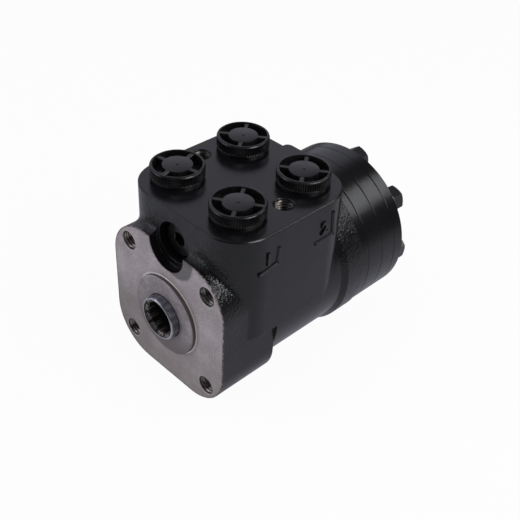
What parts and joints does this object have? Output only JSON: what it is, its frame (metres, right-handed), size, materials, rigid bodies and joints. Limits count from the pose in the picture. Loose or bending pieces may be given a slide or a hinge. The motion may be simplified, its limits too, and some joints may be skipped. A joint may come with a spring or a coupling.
{
  "type": "orbital steering unit",
  "caption": "Hydrostatic steering unit with a square front flange, splined input, plugged port block and a gear set under a bolted round cover.",
  "frame": {"origin": "centre of the front mounting face, on the shaft axis", "axes": "+Y runs back along the shaft axis towards the cover, +Z out of the port face, +X to the right seen from the front"},
  "size_m": [0.0904, 0.1499, 0.1128],
  "materials": {
    "casting_paint": "satin black paint over a rough casting",
    "machined_iron": "machined grey iron",
    "painted_steel": "satin black paint over turned steel",
    "painted_screw": "satin black paint over steel",
    "bright_steel": "bright machined steel",
    "hardened_steel": "ground hardened steel",
    "spring_steel": "spring steel",
    "zinc_steel": "zinc plated steel",
    "copper_washer": "soft metal sealing washer",
    "seal_rubber": "matt black rubber",
    "seal_plastic": "filled PTFE",
    "plug_plastic": "moulded black plastic"
  },
  "bodies": {
    "housing": {"housing": "casting_paint", "distributor_plate": "painted_steel", "gear_ring": "painted_steel", "end_cover": "painted_steel", "stack_seal_rings": "seal_rubber", "cover_screws": "painted_screw", "pin_screw": "painted_screw", "cover_washers": "bright_steel", "dust_seal": "seal_rubber", "shaft_seal": "seal_plastic", "shaft_seal_ring": "seal_rubber", "outer_race": "hardened_steel", "relief_plug": "painted_screw", "relief_plug_seal": "copper_washer", "relief_adjuster": "zinc_steel", "relief_spring": "spring_steel", "check_bush": "bright_steel", "suction_pins": "bright_steel"},
    "sleeve": {"sleeve": "hardened_steel", "cross_pin": "hardened_steel", "spring_ring": "hardened_steel", "centring_springs": "spring_steel", "inner_race": "hardened_steel"},
    "spool": {"spool": "bright_steel"},
    "thrust_bearing": {"thrust_cage": "hardened_steel", "thrust_needles": "hardened_steel"},
    "orbit": {"spacer": "bright_steel"},
    "rotor": {"rotor": "hardened_steel"},
    "cardan": {"cardan_shaft": "hardened_steel"},
    "relief_poppet": {"relief_poppet": "hardened_steel"},
    "check_ball": {"check_ball": "hardened_steel"},
    "suction_ball_left": {"suction_ball_left": "hardened_steel"},
    "suction_ball_right": {"suction_ball_right": "hardened_steel"},
    "port_plug_right_front": {"port_plug_right_front": "plug_plastic"},
    "port_plug_left_front": {"port_plug_left_front": "plug_plastic"},
    "port_plug_right_back": {"port_plug_right_back": "plug_plastic"},
    "port_plug_left_back": {"port_plug_left_back": "plug_plastic"}
  },
  "joints": [
    {"name": "sleeve_turn", "type": "hinge", "parent": "housing", "child": "sleeve", "pos_m": [0, 0.045, 0], "axis": [0, 1, 0], "continuous": true},
    {"name": "spool_turn", "type": "hinge", "parent": "sleeve", "child": "spool", "pos_m": [0, 0.045, 0], "axis": [0, 1, 0], "range_deg": [-9, 9], "stiffness_Nm_per_rad": 8, "deforming": ["centring_springs"]},
    {"name": "thrust_bearing_turn", "type": "hinge", "parent": "housing", "child": "thrust_bearing", "pos_m": [0, 0.0124, 0], "axis": [0, 1, 0], "continuous": true},
    {"name": "rotor_orbit", "type": "hinge", "parent": "housing", "child": "orbit", "pos_m": [0, 0.12055, 0], "axis": [0, 1, 0], "continuous": true},
    {"name": "rotor_spin", "type": "hinge", "parent": "orbit", "child": "rotor", "pos_m": [0, 0.12055, 0.0037], "axis": [0, 1, 0], "continuous": true},
    {"name": "cardan_spin", "type": "hinge", "parent": "orbit", "child": "cardan", "pos_m": [0, 0.045, 0], "axis": [0, 0.9988, 0.0489], "continuous": true},
    {"name": "relief_lift", "type": "slide", "parent": "housing", "child": "relief_poppet", "axis": [0, -1, 0], "range_m": [0, 0.002], "stiffness_N_per_m": 12000, "springref_m": -0.006, "deforming": ["relief_spring"]},
    {"name": "check_ball_lift", "type": "slide", "parent": "housing", "child": "check_ball", "axis": [0, 1, 0], "range_m": [0, 0.0011]},
    {"name": "suction_ball_left_lift", "type": "slide", "parent": "housing", "child": "suction_ball_left", "axis": [0, 1, 0], "range_m": [0, 0.0011]},
    {"name": "suction_ball_right_lift", "type": "slide", "parent": "housing", "child": "suction_ball_right", "axis": [0, 1, 0], "range_m": [0, 0.0011]},
    {"name": "port_plug_right_front_out", "type": "slide", "parent": "housing", "child": "port_plug_right_front", "axis": [0, 0, 1], "range_m": [0, 0.03]},
    {"name": "port_plug_left_front_out", "type": "slide", "parent": "housing", "child": "port_plug_left_front", "axis": [0, 0, 1], "range_m": [0, 0.03]},
    {"name": "port_plug_right_back_out", "type": "slide", "parent": "housing", "child": "port_plug_right_back", "axis": [0, 0, 1], "range_m": [0, 0.03]},
    {"name": "port_plug_left_back_out", "type": "slide", "parent": "housing", "child": "port_plug_left_back", "axis": [0, 0, 1], "range_m": [0, 0.03]}
  ],
  "couplings": [
    {"joint": "thrust_bearing_turn", "follows": "sleeve_turn", "ratio": 0.5},
    {"joint": "rotor_orbit", "follows": "sleeve_turn", "ratio": -6},
    {"joint": "rotor_spin", "follows": "sleeve_turn", "ratio": 7},
    {"joint": "cardan_spin", "follows": "sleeve_turn", "ratio": 7}
  ]
}
